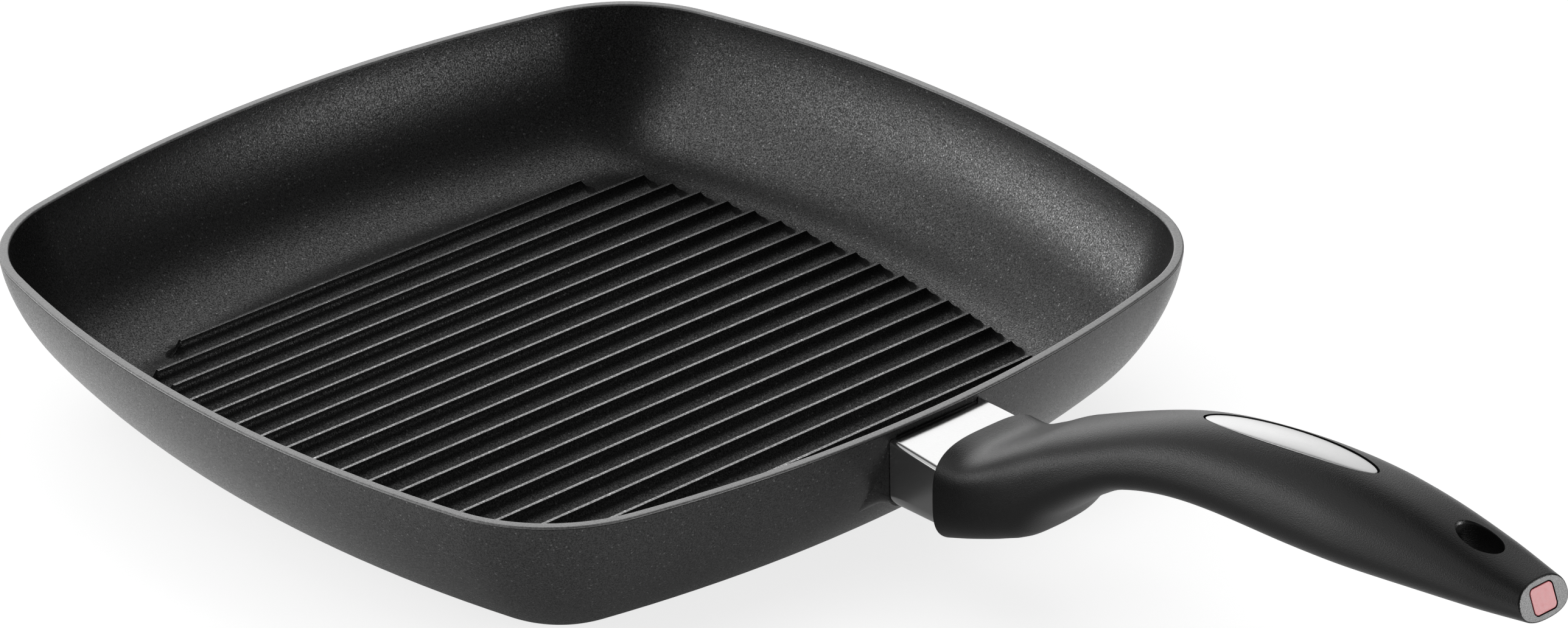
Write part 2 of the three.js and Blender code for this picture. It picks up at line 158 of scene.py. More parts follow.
def blend(tree, factor, first, second, mode="MIX"):
    """Mixes two colours by a factor."""
    node = tree.nodes.new("ShaderNodeMix")
    node.data_type = "RGBA"
    node.blend_type = mode
    sockets = [node.inputs[i] for i in (MIX_FACTOR, MIX_FIRST, MIX_SECOND)]
    feed(tree, sockets, (factor, first, second))
    return node.outputs[MIX_RESULT]


def grain(tree, shader, height, strength, depth):
    """A bump from a height, at a strength and a depth."""
    node = tree.nodes.new("ShaderNodeBump")
    node.inputs["Strength"].default_value = strength
    node.inputs["Distance"].default_value = depth
    tree.links.new(height, node.inputs["Height"])
    tree.links.new(node.outputs["Normal"], shader.inputs["Normal"])


def coating(name, dark, pale, roughness, gloss, flake):
    """Speckled non-stick coating: fine dark and pale grains, a few brighter specks and a fine tooth."""
    material, tree, shader = finish_of(name)
    shader.inputs["Specular IOR Level"].default_value = gloss
    shader.inputs["Metallic"].default_value = flake
    grains = texture(tree, "ShaderNodeTexNoise", GRAIN_SCALE, Detail=1.5, Roughness=0.6).outputs["Fac"]
    base = ramp(tree, grains, GRAIN_SPAN, (dark, pale))
    cells = texture(tree, "ShaderNodeTexVoronoi", SPECK_SCALE)
    split = tree.nodes.new("ShaderNodeSeparateColor")
    tree.links.new(cells.outputs["Color"], split.inputs["Color"])
    chosen = ramp(tree, split.outputs["Red"], SPECK_CHOICE, (0, 1))
    dot = ramp(tree, cells.outputs["Distance"], SPECK_EDGE, (1, 0))
    specks = blend(tree, 1.0, chosen, dot, "MULTIPLY")
    tree.links.new(blend(tree, specks, base, opaque(SPECK_GAIN * pale)), shader.inputs["Base Color"])
    matt = ramp(tree, grains, GRAIN_SPAN, (roughness + GRAIN_MATT, roughness - GRAIN_MATT))
    tree.links.new(matt, shader.inputs["Roughness"])
    grain(tree, shader, grains, *GRAIN_TOOTH)
    return material


def varied_finish(name, scale, detail, tones, matt, metal=0.0, gloss=0.5, tooth=None):
    """A finish whose tone and roughness run between two values with a fine noise, and may have a tooth."""
    material, tree, shader = finish_of(name)
    shader.inputs["Metallic"].default_value = metal
    shader.inputs["Specular IOR Level"].default_value = gloss
    pattern = texture(tree, "ShaderNodeTexNoise", scale, Detail=detail).outputs["Fac"]
    tree.links.new(ramp(tree, pattern, NOISE_SPAN, tones), shader.inputs["Base Color"])
    tree.links.new(ramp(tree, pattern, NOISE_SPAN, matt), shader.inputs["Roughness"])
    if tooth:
        grain(tree, shader, pattern, *tooth)
    return material


pan_finish = (
    coating("outer_coating", dark=0.06, pale=0.165, roughness=0.32, gloss=0.4, flake=0.15),
    varied_finish(
        "rim_metal", scale=1800, detail=4.0, tones=(0.22, 0.4), matt=(0.36, 0.5), metal=0.5,
        tooth=(0.3, 0.0002)
    ),
    coating("inner_coating", dark=0.046, pale=0.192, roughness=0.32, gloss=0.9, flake=0.88),
    # The rib crests get a paler copy of the inner coating: a painted highlight where their tops catch the
    # light.
    coating("crest_painted_highlight", dark=0.1, pale=0.3, roughness=0.3, gloss=1.0, flake=0.8),
    # The rib sides and groove rounds get a darker copy of the inner coating: painted shade between the ribs.
    coating("groove_painted_shade", dark=0.024, pale=0.1, roughness=0.32, gloss=0.9, flake=0.88),
)


def curve_point(start, first, second, end, t):
    """A point on a cubic curve."""
    s = 1 - t
    return s ** 3 * start + 3 * s * s * t * first + 3 * s * t * t * second + t ** 3 * end


def pan_ring(inset, height):
    """The pan's outline at one height, drawn in from the rim: a shallow arc on each side and a round at each
    corner."""
    side_radius = SIDE_RADIUS - inset
    corner_radius = CORNER_RADIUS - CORNER_SHRINK * inset
    side_centre = PAN_HALF - SIDE_RADIUS
    reach = side_radius - corner_radius
    corner_centre = (side_centre + math.sqrt(2 * reach ** 2 - side_centre ** 2)) / 2
    side_angle = math.atan2(corner_centre, corner_centre - side_centre)
    side = []
    for i in range(SIDE_STEPS):
        angle = side_angle * (2 * i / SIDE_STEPS - 1)
        side.append((side_centre + side_radius * math.cos(angle), side_radius * math.sin(angle)))
    for i in range(CORNER_STEPS):
        angle = side_angle + (math.pi / 2 - 2 * side_angle) * i / CORNER_STEPS
        side.append((
            corner_centre + corner_radius * math.cos(angle),
            corner_centre + corner_radius * math.sin(angle),
        ))
    ring = []
    for quarter in range(4):
        turn = Matrix.Rotation(quarter * math.pi / 2, 3, "Z")
        ring.extend(turn @ Vector((x, y, height)) for x, y in side)
    return ring


def skin(name, rings, zones=None, hollow=False):
    """Starts from a circle, and extrudes its edge from ring to ring. Zones number the finish of each step. A
    hollow skin closes on its first ring, and any other has a face at both ends."""
    count = len(rings[0])
    bpy.ops.object.select_all(action="DESELECT")
    bpy.ops.mesh.primitive_circle_add(vertices=count, fill_type="NOTHING" if hollow else "NGON")
    piece = bpy.context.object
    piece.name = piece.data.name = name
    bpy.ops.object.mode_set(mode="EDIT")
    bpy.ops.mesh.select_mode(type="EDGE")
    edit = bmesh.from_edit_mesh(piece.data)
    loop = list(edit.verts)
    for vert, point in zip(loop, rings[0]):
        vert.co = point
    for i, ring in enumerate(rings[1:]):
        bpy.ops.mesh.extrude_edges_indiv()
        edit = bmesh.from_edit_mesh(piece.data)
        fresh = []
        for vert in loop:
            fresh.append(next(e.other_vert(vert) for e in vert.link_edges if e.other_vert(vert).select))
        for vert, point in zip(fresh, ring):
            vert.co = point
            for face in vert.link_faces:
                face.material_index = zones[i] if zones else 0
        loop = fresh
    if hollow:
        edit.verts.ensure_lookup_table()
        for vert in edit.verts[:count]:
            vert.select = True
        edit.select_flush(True)
        for edge in edit.edges:
            edge.select = all(v.select for v in edge.verts) and len(edge.link_faces) == 1
        bpy.ops.mesh.bridge_edge_loops()
    else:
        bpy.ops.mesh.edge_face_add()
        edit = bmesh.from_edit_mesh(piece.data)
        for face in edit.faces:
            if face.select:
                face.material_index = zones[-1] if zones else 0
    bpy.ops.mesh.select_all(action="SELECT")
    bpy.ops.mesh.normals_make_consistent(inside=False)
    bpy.ops.object.mode_set(mode="OBJECT")
    return piece


# The bowl runs from the base up its outside, over the rim, and down the inside to the floor.
coat_edge = PAN_HEIGHT - RIM_ROUND
rings = [pan_ring(BASE_INSET + BASE_ROUND, 0)]
zones = []
for i in range(WALL_STEPS + 1):
    spot = curve_point(
        Vector((BASE_INSET, 0)), BELLY, SHOULDER, Vector((0, coat_edge - COAT_EDGE_WIDTH)), i / WALL_STEPS
    )
    if i == 0:
        spot = Vector((BASE_INSET - BASE_ROUND, BASE_ROUND / 2))
    rings.append(pan_ring(spot.x, spot.y))
    zones.append(OUTSIDE)
rings.append(pan_ring(COAT_EDGE_DEPTH, coat_edge - COAT_EDGE_WIDTH / 2))
rings.append(pan_ring(0, coat_edge))
zones += [OUTSIDE, OUTSIDE]
for edge, turn in ((RIM_ROUND, 0), (RIM_WIDTH - RIM_ROUND, math.pi / 2)):
    for i in range(RIM_STEPS + 1):
        angle = turn + math.pi / 2 * i / RIM_STEPS
        if turn or i:
            inset = edge - RIM_ROUND * math.cos(angle)
            rings.append(pan_ring(inset, PAN_HEIGHT - RIM_ROUND * (1 - math.sin(angle))))
            zones.append(RIM)
wall_spots = []
for i in range(1, WALL_STEPS + 1):
    wall_spots.append(curve_point(
        Vector((RIM_WIDTH, coat_edge)), WELL_SHOULDER, WELL_BELLY,
        Vector((FLOOR_INSET, FLOOR_HEIGHT)), i / WALL_STEPS
    ))
for spot in wall_spots:
    rings.append(pan_ring(spot.x, spot.y))
    zones.append(INSIDE)
zones.append(INSIDE)
pan = skin("pan", rings, zones)
for material in pan_finish:
    pan.data.materials.append(material)

# Each rib is a bar of its own, and all of them are joined to the floor at once.
RIB_COUNT = 19
RIB_PITCH = 0.01004
RIB_HEIGHT = 0.004
RIB_CREST = 0.0011
RIB_EDGE = 0.00012
RIB_ROOT = 0.001
RIB_FOOT_DROP = 0.00005
RIB_END_INSET = 0.0389
RIB_END_RUN = 0.005
RIB_END_POWER = 1.7
RIB_END_STEPS = 6
GROOVE_FOOT_ANGLE = 0.07
GROOVE_STEPS = 14
# The groove's first step, next to the crest, is shorter by this share.
GROOVE_SKIP = 0.7
# A rounded edge has a ring at its middle, drawn in by this share of its size.
MID_ROUND = 0.3


def rib_ring(x, y, share):
    """One section of a rib. Its sides are the rounds of the two grooves beside it, and near its ends it
    stands at a share of its height."""
    depth = RIB_HEIGHT + RIB_FOOT_DROP
    reach = (RIB_PITCH - RIB_CREST) / 2
    radius = (reach ** 2 + depth ** 2) / (2 * depth)
    steep = math.asin(reach / radius)
    edge = RIB_EDGE * MID_ROUND
    half = [(RIB_CREST / 2 - RIB_EDGE, share * depth), (RIB_CREST / 2 - edge, share * (depth - edge))]
    for i in range(1, GROOVE_STEPS + 1):
        angle = steep + (GROOVE_FOOT_ANGLE - steep) * (i - GROOVE_SKIP) / (GROOVE_STEPS - GROOVE_SKIP)
        half.append((RIB_PITCH / 2 - radius * math.sin(angle), share * radius * (1 - math.cos(angle))))
    half.append((half[-1][0], RIB_FOOT_DROP - RIB_ROOT))
    outline = half + [(-aside, rise) for aside, rise in reversed(half)]
    return [Vector((x + aside, y, FLOOR_HEIGHT - RIB_FOOT_DROP + rise)) for aside, rise in outline]


def rib_reach(x):
    """Half length of a rib's crest at a distance across the ribs: it stops short of the nearest wall."""
    radius = SIDE_RADIUS - RIB_END_INSET
    side_centre = PAN_HALF - SIDE_RADIUS
    to_end_wall = side_centre + math.sqrt(radius ** 2 - x ** 2)
    to_side_wall = math.sqrt(radius ** 2 - (abs(x) - side_centre) ** 2)
    return min(to_end_wall, to_side_wall)


def rib(x):
    """One rib along Y, running down in a hollow sweep at both ends."""
    reach = rib_reach(x)
    near_end, far_end = [], []
    for i in range(RIB_END_STEPS + 1):
        out = i / RIB_END_STEPS
        share = (1 - out) ** RIB_END_POWER
        near_end.insert(0, rib_ring(x, -reach - RIB_END_RUN * out, share))
        far_end.append(rib_ring(x, reach + RIB_END_RUN * out, share))
    bar = skin("rib", near_end + far_end)
    for material in pan_finish:
        bar.data.materials.append(material)
    # The crest faces take the painted highlight, and every other face of a rib takes the painted shade.
    crest_height = FLOOR_HEIGHT + RIB_HEIGHT - RIB_EDGE
    for face in bar.data.polygons:
        on_crest = all(bar.data.vertices[i].co.z > crest_height for i in face.vertices)
        face.material_index = CREST_HIGHLIGHT if on_crest else GROOVE_SHADE
    return bar


def combine(piece, shape, operation):
    """Joins a shape to a piece, or cuts it away."""
    modifier = piece.modifiers.new("cut", "BOOLEAN")
    modifier.operation = operation
    modifier.solver = "EXACT"
    modifier.object = shape
    bpy.ops.object.select_all(action="DESELECT")
    bpy.context.view_layer.objects.active = piece
    piece.select_set(True)
    bpy.ops.object.modifier_apply(modifier=modifier.name)
    bpy.data.objects.remove(shape)


ribs = [rib((i - RIB_COUNT // 2) * RIB_PITCH) for i in range(RIB_COUNT)]
bpy.ops.object.select_all(action="DESELECT")
for bar in ribs:
    bar.select_set(True)
bpy.context.view_layer.objects.active = ribs[0]
bpy.ops.object.join()
combine(pan, ribs[0], "UNION")

# The boss grows out of the wall on the handle's side, ends in a flat seat, and carries the notched tang.
BOSS_FACE = 0.1361
BOSS_HALF_WIDTH = 0.017
BOSS_BOTTOM = 0.0228
BOSS_TOP = 0.0434
BOSS_DEPTH = 0.011
BOSS_FLARE = 0.005
BOSS_FLARE_POWER = 2.5
BOSS_ROUND = 0.004
BOSS_STEPS = 12
BOSS_IN_WALL = 0.0012
SEAT_HALF_WIDTH = 0.0146
SEAT_TOP = 0.0444
TANG_HALF_WIDTH = 0.008
TANG_BOTTOM = 0.030
TANG_TOP = 0.038
TANG_END = 0.176
TANG_ROOT = 0.002
TANG_EDGE = 0.0008
NOTCH_X = 0.1684
NOTCH_HALF = 0.0015
NOTCH_DEPTH = 0.0015
# A cutter reaches this far past what it cuts.
CLEAR = 0.002


def block(name, low, high, edge=0.0):
    """A box between two corners, with its edges taken off."""
    low, high = Vector(low), Vector(high)
    bpy.ops.object.select_all(action="DESELECT")
    bpy.ops.mesh.primitive_cube_add(size=1, location=(low + high) / 2, scale=high - low)
    bpy.ops.object.transform_apply(location=True, rotation=True, scale=True)
    piece = bpy.context.object
    piece.name = piece.data.name = name
    if edge:
        bpy.ops.object.mode_set(mode="EDIT")
        bpy.ops.mesh.select_all(action="SELECT")
        bpy.ops.mesh.bevel(offset=edge, segments=3, affect="EDGES")
        bpy.ops.object.mode_set(mode="OBJECT")
    return piece


def sleeve_ring(x, half_width, bottom, top, lower_round, upper_round, steps):
    """A rounded rectangle across the handle's line, counted from +Y towards +Z."""
    ring = []
    for y_side, z_side, quarter in ((1, 1, 0), (-1, 1, 1), (-1, -1, 2), (1, -1, 3)):
        radius = upper_round if z_side > 0 else lower_round
        y = y_side * (half_width - radius)
        z = top - radius if z_side > 0 else bottom + radius
        for i in range(steps + 1):
            angle = math.pi / 2 * (quarter + i / steps)
            ring.append(Vector((x, y + radius * math.cos(angle), z + radius * math.sin(angle))))
    return ring


boss_rings = []
for i in range(BOSS_STEPS + 1):
    out = i / BOSS_STEPS
    flare = BOSS_FLARE * (1 - out) ** BOSS_FLARE_POWER
    boss_rings.append(sleeve_ring(
        BOSS_FACE - BOSS_DEPTH * (1 - out), BOSS_HALF_WIDTH + flare, BOSS_BOTTOM - flare, BOSS_TOP,
        BOSS_ROUND, BOSS_ROUND, steps=8
    ))
boss = skin("boss", boss_rings)
well_rings = [pan_ring(RIM_WIDTH - BOSS_IN_WALL, PAN_HEIGHT)]
well_rings += [pan_ring(spot.x - BOSS_IN_WALL, spot.y) for spot in wall_spots]
combine(boss, skin("well", well_rings), "DIFFERENCE")
combine(pan, boss, "UNION")
seat = block(
    "seat", (BOSS_FACE, -SEAT_HALF_WIDTH, BOSS_BOTTOM), (PAN_HALF + CLEAR, SEAT_HALF_WIDTH, SEAT_TOP)
)
combine(pan, seat, "DIFFERENCE")
tang = block(
    "tang", (BOSS_FACE - TANG_ROOT, -TANG_HALF_WIDTH, TANG_BOTTOM), (TANG_END, TANG_HALF_WIDTH, TANG_TOP),
    TANG_EDGE
)
notch = block(
    "notch", (NOTCH_X - NOTCH_HALF, -TANG_HALF_WIDTH - CLEAR, TANG_TOP - NOTCH_DEPTH),
    (NOTCH_X + NOTCH_HALF, TANG_HALF_WIDTH + CLEAR, TANG_TOP + CLEAR)
)
combine(tang, notch, "DIFFERENCE")
combine(pan, tang, "UNION")


def smooth(piece, degrees):
    """Smooth faces that break at edges sharper than an angle, led by the larger faces."""
    bpy.ops.object.select_all(action="DESELECT")
    bpy.context.view_layer.objects.active = piece
    piece.select_set(True)
    bpy.ops.object.shade_smooth_by_angle(angle=math.radians(degrees))
    weighted = piece.modifiers.new("normals", "WEIGHTED_NORMAL")
    weighted.keep_sharp = True
    bpy.ops.object.modifier_apply(modifier=weighted.name)


smooth(pan, degrees=35)
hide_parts("pan_body")
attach(pan, "root")

# Ferrule
# A pressed sleeve of satin stainless steel between the boss and the handle, a little wider and lower at the
# handle, and held by being clamped between the two. Each end is given as x, half width, bottom and top.
FERRULE_PAN_END = (0.1364, 0.017, 0.0233, 0.0434)
FERRULE_GRIP_END = (0.1605, 0.0179, 0.0242, 0.0419)
FERRULE_LENGTH = FERRULE_GRIP_END[0] - FERRULE_PAN_END[0]
FERRULE_LOWER_ROUND = 0.0045
FERRULE_UPPER_ROUND = 0.0014
FERRULE_WALL = 0.0012
FERRULE_EDGE = 0.0004
FERRULE_STEPS = 8


def ferrule_ring(along, inward):
    """The sleeve's section at a share of its length, drawn in from its outside."""
    x, half_width, bottom, top = (
        start + (end - start) * along for start, end in zip(FERRULE_PAN_END, FERRULE_GRIP_END)
    )
    return sleeve_ring(
        x, half_width - inward, bottom + inward, top - inward,
        FERRULE_LOWER_ROUND - inward, FERRULE_UPPER_ROUND - inward, steps=10
    )


edge = FERRULE_EDGE / FERRULE_LENGTH
ferrule_rings = [ferrule_ring(0, FERRULE_EDGE), ferrule_ring(edge * MID_ROUND, FERRULE_EDGE * MID_ROUND)]
ferrule_rings.append(ferrule_ring(edge, 0))
ferrule_rings += [ferrule_ring(i / FERRULE_STEPS, 0) for i in range(1, FERRULE_STEPS)]
ferrule_rings += [ferrule_ring(1 - edge, 0), ferrule_ring(1, FERRULE_EDGE)]
ferrule_rings += [ferrule_ring(1, FERRULE_WALL), ferrule_ring(0, FERRULE_WALL)]
ferrule = skin("ferrule_sleeve", ferrule_rings, hollow=True)
smooth(ferrule, degrees=40)
ferrule.data.materials.append(
    varied_finish("satin_steel", scale=2600, detail=2.0, tones=(0.7, 0.74), matt=(0.15, 0.18), metal=1.0)
)
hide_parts("ferrule")
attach(ferrule, "root")

# Lock spring
# A bent strip of spring steel, whose shape is the frame's own. It lies out of sight in the handle's pocket,
# and its tooth drops into the tang's notch.
lock_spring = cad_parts["lock_spring"]
lock_spring.data.materials.clear()
lock_spring.data.materials.append(
    varied_finish("strip_steel", scale=600, detail=3.0, tones=(0.4, 0.5), matt=(0.3, 0.45), metal=1.0)
)

# Handle
# A black heat-proof moulding: a square front block with a socket, an arched arm of oval section, a hanging
# hole near its end, and recesses for the badge plate and the end inlay. A few stations give each line.
GRIP_START = 0.1546
GRIP_END = 0.3417
GRIP_TOP = (
    (0.1546, 0.0482), (0.163, 0.0485), (0.174, 0.054), (0.188, 0.0622), (0.222, 0.0771), (0.245, 0.0833),
    (0.275, 0.0865), (0.305, 0.0849), (0.342, 0.0779),
)
GRIP_UNDERSIDE = (
    (0.1546, 0.019), (0.165, 0.0228), (0.174, 0.0261), (0.181, 0.0294), (0.187, 0.0364), (0.193, 0.0414),
    (0.2, 0.0468), (0.212, 0.0538), (0.235, 0.0591), (0.275, 0.0618), (0.315, 0.0657), (0.342, 0.0683),
)
GRIP_HALF_WIDTH = (
    (0.1546, 0.0195), (0.168, 0.0192), (0.19, 0.016), (0.212, 0.0133), (0.232, 0.0131), (0.272, 0.0147),
    (0.292, 0.0149), (0.325, 0.0117), (0.342, 0.0085),
)
GRIP_SQUARENESS = ((0.1546, 3.3), (0.172, 3.1), (0.19, 2.6), (0.215, 2.4), (0.342, 2.4))
GRIP_TAPER = ((0.1546, 0), (0.172, 0.03), (0.19, 0.12), (0.212, 0.2), (0.3, 0.2), (0.342, 0.06))
GRIP_SKIN = 0.00015
GRIP_STEP = 0.0025
GRIP_SIDES = 80
GRIP_EDGE = 0.0004
GRIP_EDGE_STEPS = 4
END_LEAN = 0.4
END_LEAN_START = 0.3


def line_at(stations, x):
    """A smooth line through a few stations, read at a distance along the handle."""
    last = len(stations) - 1
    i = next((k for k in range(last) if x <= stations[k + 1][0]), last - 1)

    def slope(k):
        before, after = stations[max(k - 1, 0)], stations[min(k + 1, last)]
        return (after[1] - before[1]) / (after[0] - before[0])

    (xa, va), (xb, vb) = stations[i], stations[i + 1]
    span = xb - xa
    t = (x - xa) / span
    start = (1 + 2 * t) * (1 - t) ** 2 * va + t * (1 - t) ** 2 * span * slope(i)
    return start + t * t * (3 - 2 * t) * vb + t * t * (t - 1) * span * slope(i + 1)


def grip_ring(x, shrink):
    """One cross-section of the handle, narrower towards its top. The tail leans so that its end face looks a
    little upwards."""
    shrink += GRIP_SKIN
    high = line_at(GRIP_TOP, x) - shrink
    low = line_at(GRIP_UNDERSIDE, x) + shrink
    half_width = line_at(GRIP_HALF_WIDTH, x) - shrink
    taper = line_at(GRIP_TAPER, x)
    power = 2 / line_at(GRIP_SQUARENESS, x)
    middle = (high + low) / 2
    share = min(max((x - END_LEAN_START) / (GRIP_END - END_LEAN_START), 0), 1)
    lean = END_LEAN * share * share * (3 - 2 * share)
    ring = []
    for i in range(GRIP_SIDES):
        angle = 2 * math.pi * i / GRIP_SIDES
        wide = math.copysign(abs(math.cos(angle)) ** power, math.cos(angle))
        rise = math.copysign(abs(math.sin(angle)) ** power, math.sin(angle))
        up = rise * (high - middle)
        ring.append(Vector((x - lean * up, half_width * wide * (1 - taper * rise), middle + up)))
    return ring


grip_rings = []
for i in range(GRIP_EDGE_STEPS):
    angle = math.pi / 2 * i / GRIP_EDGE_STEPS
    x = GRIP_START + GRIP_EDGE * (1 - math.cos(angle))
    grip_rings.append(grip_ring(x, GRIP_EDGE * (1 - math.sin(angle))))
run = GRIP_END - GRIP_START - 2 * GRIP_EDGE
steps = round(run / GRIP_STEP)
for i in range(steps + 1):
    grip_rings.append(grip_ring(GRIP_START + GRIP_EDGE + run * i / steps, 0))
for i in range(1, GRIP_EDGE_STEPS + 1):
    angle = math.pi / 2 * i / GRIP_EDGE_STEPS
    x = GRIP_END - GRIP_EDGE * (1 - math.sin(angle))
    grip_rings.append(grip_ring(x, GRIP_EDGE * (1 - math.cos(angle))))
handle = skin("handle", grip_rings)

# The socket takes the ferrule's end, and behind it are the tang's slot and the spring's pocket.
GAP = 0.0003
SLOT_START = FERRULE_GRIP_END[0] - CLEAR
SPRING_HALF_WIDTH = 0.0045
SPRING_ROOF = 0.0442
SPRING_BACK = 0.1794
socket_rings = []
for x in (GRIP_START - CLEAR, FERRULE_GRIP_END[0] + GAP):
    along = (x - FERRULE_PAN_END[0]) / FERRULE_LENGTH
    socket_rings.append([Vector((x, p.y, p.z)) for p in ferrule_ring(min(along, 1), -GAP)])
combine(handle, skin("socket", socket_rings), "DIFFERENCE")
slot = block(
    "tang_slot", (SLOT_START, -TANG_HALF_WIDTH - GAP, TANG_BOTTOM - GAP),
    (TANG_END + GAP, TANG_HALF_WIDTH + GAP, TANG_TOP + GAP)
)
pocket = block(
    "spring_pocket", (SLOT_START, -SPRING_HALF_WIDTH - GAP, TANG_TOP),
    (SPRING_BACK + GAP, SPRING_HALF_WIDTH + GAP, SPRING_ROOF)
)
combine(slot, pocket, "UNION")
combine(handle, slot, "DIFFERENCE")

# The hanging hole is an oval with a rounded mouth above and below.
HOLE_X = 0.3215
HOLE_HALF_LENGTH = 0.0066
HOLE_HALF_WIDTH = 0.0043
HOLE_FLARE = 0.0014
HOLE_WIDENING = 0.001
HOLE_STEPS = 6
OVAL_SIDES = 64


def oval(x, half_length, half_width, height):
    """An oval ring around a point on the handle's line, at the height that a function gives each place."""
    ring = []
    for i in range(OVAL_SIDES):
        angle = 2 * math.pi * i / OVAL_SIDES
        along = half_length * math.cos(angle)
        wide = half_width * math.sin(angle)
        ring.append(Vector((x + along, wide, height(x + along, wide))))
    return ring


def hole_ring(line, outward, out, growth):
    """One ring of the hole, a distance out from the handle's upper or lower line."""
    def height(x, y):
        return line_at(line, x) + outward * out

    return oval(HOLE_X, HOLE_HALF_LENGTH + growth, HOLE_HALF_WIDTH + growth, height)


mouth = [(CLEAR, HOLE_FLARE + HOLE_WIDENING)]
for i in range(HOLE_STEPS + 1):
    angle = math.pi / 2 * i / HOLE_STEPS
    mouth.append((-HOLE_FLARE * (1 - math.cos(angle)), HOLE_FLARE * (1 - math.sin(angle))))
hole_rings = [hole_ring(GRIP_UNDERSIDE, -1, out, growth) for out, growth in mouth]
hole_rings += [hole_ring(GRIP_TOP, 1, out, growth) for out, growth in reversed(mouth)]
combine(handle, skin("hanging_hole", hole_rings), "DIFFERENCE")

# The badge's recess follows the top of the handle at an even depth.
BADGE_X = 0.2602
BADGE_HALF_LENGTH = 0.0282
BADGE_HALF_WIDTH = 0.0047
BADGE_SUNK = 0.0004
BADGE_THICKNESS = 0.0012
BADGE_MARGIN = 0.0006
BADGE_RINGS = (1.0, 0.9, 0.75, 0.55, 0.3, 0.1)
GRIP_CLEAR = 0.095
TAPER_ROUNDS = 6


def top_of_grip(x, y):
    """Height of the handle's upper surface above a point, found in rounds because the width depends on it."""
    high = line_at(GRIP_TOP, x)
    middle = (high + line_at(GRIP_UNDERSIDE, x)) / 2
    squareness = line_at(GRIP_SQUARENESS, x)
    rise = 1
    for i in range(TAPER_ROUNDS):
        away = abs(y) / (line_at(GRIP_HALF_WIDTH, x) * (1 - line_at(GRIP_TAPER, x) * rise))
        rise = (1 - min(away, 1) ** squareness) ** (1 / squareness)
    return middle + (high - middle) * rise


def badge_ring(share, margin, depth):
    """An oval at a share of the badge's size plus a margin, at a depth below the top of the handle."""
    def height(x, y):
        return top_of_grip(x, y) - depth

    return oval(BADGE_X, (BADGE_HALF_LENGTH + margin) * share, (BADGE_HALF_WIDTH + margin) * share, height)


def above_grip(x, y):
    """A height that is clear of the handle everywhere."""
    return GRIP_CLEAR


recess_depth = BADGE_SUNK + BADGE_THICKNESS + GAP
recess_rings = [badge_ring(share, BADGE_MARGIN, recess_depth) for share in reversed(BADGE_RINGS)]
recess_rings.append(
    oval(BADGE_X, BADGE_HALF_LENGTH + BADGE_MARGIN, BADGE_HALF_WIDTH + BADGE_MARGIN, above_grip)
)
combine(handle, skin("badge_recess", recess_rings), "DIFFERENCE")

# The inlay's pocket is cut square to the leaning end face.
INLAY_HALF_WIDTH = 0.0039
INLAY_HALF_HEIGHT = 0.0033
INLAY_ROUND = 0.0013
INLAY_THICKNESS = 0.001
TOUCHING = 1e-6


def inlay_block(name, growth, back_face, front_face, edge):
    """A rounded plate square to the leaning end of the handle, from one distance along its face's normal to
    another."""
    bpy.ops.object.select_all(action="DESELECT")
    half_width, half_height = INLAY_HALF_WIDTH + growth, INLAY_HALF_HEIGHT + growth
    bpy.ops.mesh.primitive_cube_add(
        size=1, location=((back_face + front_face) / 2, 0, 0),
        scale=(front_face - back_face, 2 * half_width, 2 * half_height),
    )
    bpy.ops.object.transform_apply(location=True, rotation=True, scale=True)
    piece = bpy.context.object
    piece.name = piece.data.name = name
    bpy.ops.object.mode_set(mode="EDIT")
    edit = bmesh.from_edit_mesh(piece.data)
    for line in edit.edges:
        line.select_set(abs(line.verts[0].co.x - line.verts[1].co.x) > TOUCHING)
    bpy.ops.mesh.bevel(offset=INLAY_ROUND + growth, segments=6, affect="EDGES")
    if edge:
        edit = bmesh.from_edit_mesh(piece.data)
        for line in edit.edges:
            line.select_set(all(v.co.x > front_face - TOUCHING for v in line.verts))
        bpy.ops.mesh.bevel(offset=edge, segments=3, affect="EDGES")
    bpy.ops.object.mode_set(mode="OBJECT")
    middle = (line_at(GRIP_TOP, GRIP_END) + line_at(GRIP_UNDERSIDE, GRIP_END)) / 2
    piece.rotation_euler = (0, -math.atan(END_LEAN), 0)
    piece.location = (GRIP_END, 0, middle)
    bpy.ops.object.transform_apply(location=True, rotation=True, scale=True)
    return piece


combine(handle, inlay_block("inlay_pocket", GAP, -INLAY_THICKNESS - GAP, CLEAR, edge=0), "DIFFERENCE")
smooth(handle, degrees=35)
handle.data.materials.append(varied_finish(
    "moulded_black", scale=3200, detail=1.5, tones=(0.0015, 0.004), matt=(0.34, 0.42), gloss=0.55,
    tooth=(0.45, 0.00015)
))
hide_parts("handle_grip")
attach(handle, "root")

# Badge plate
# A long oval of satin plated metal, left blank, with a fine round along its edge. It is pressed into its
# recess in the top of the handle.
BADGE_EDGE = 0.0003
badge_rings = [badge_ring(share, 0, BADGE_SUNK + BADGE_THICKNESS) for share in reversed(BADGE_RINGS)]
badge_rings.append(badge_ring(1.0, 0, BADGE_SUNK + BADGE_EDGE))
badge_rings.append(badge_ring(1.0, -BADGE_EDGE * MID_ROUND, BADGE_SUNK + BADGE_EDGE * MID_ROUND))
badge_rings += [badge_ring(share, -BADGE_EDGE, BADGE_SUNK) for share in BADGE_RINGS]
badge = skin("badge_oval", badge_rings)
smooth(badge, degrees=40)
badge.data.materials.append(
    varied_finish("plate_satin", scale=1500, detail=3.0, tones=(0.52, 0.6), matt=(0.3, 0.4), metal=1.0)
)
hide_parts("badge_plate")
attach(badge, "root")

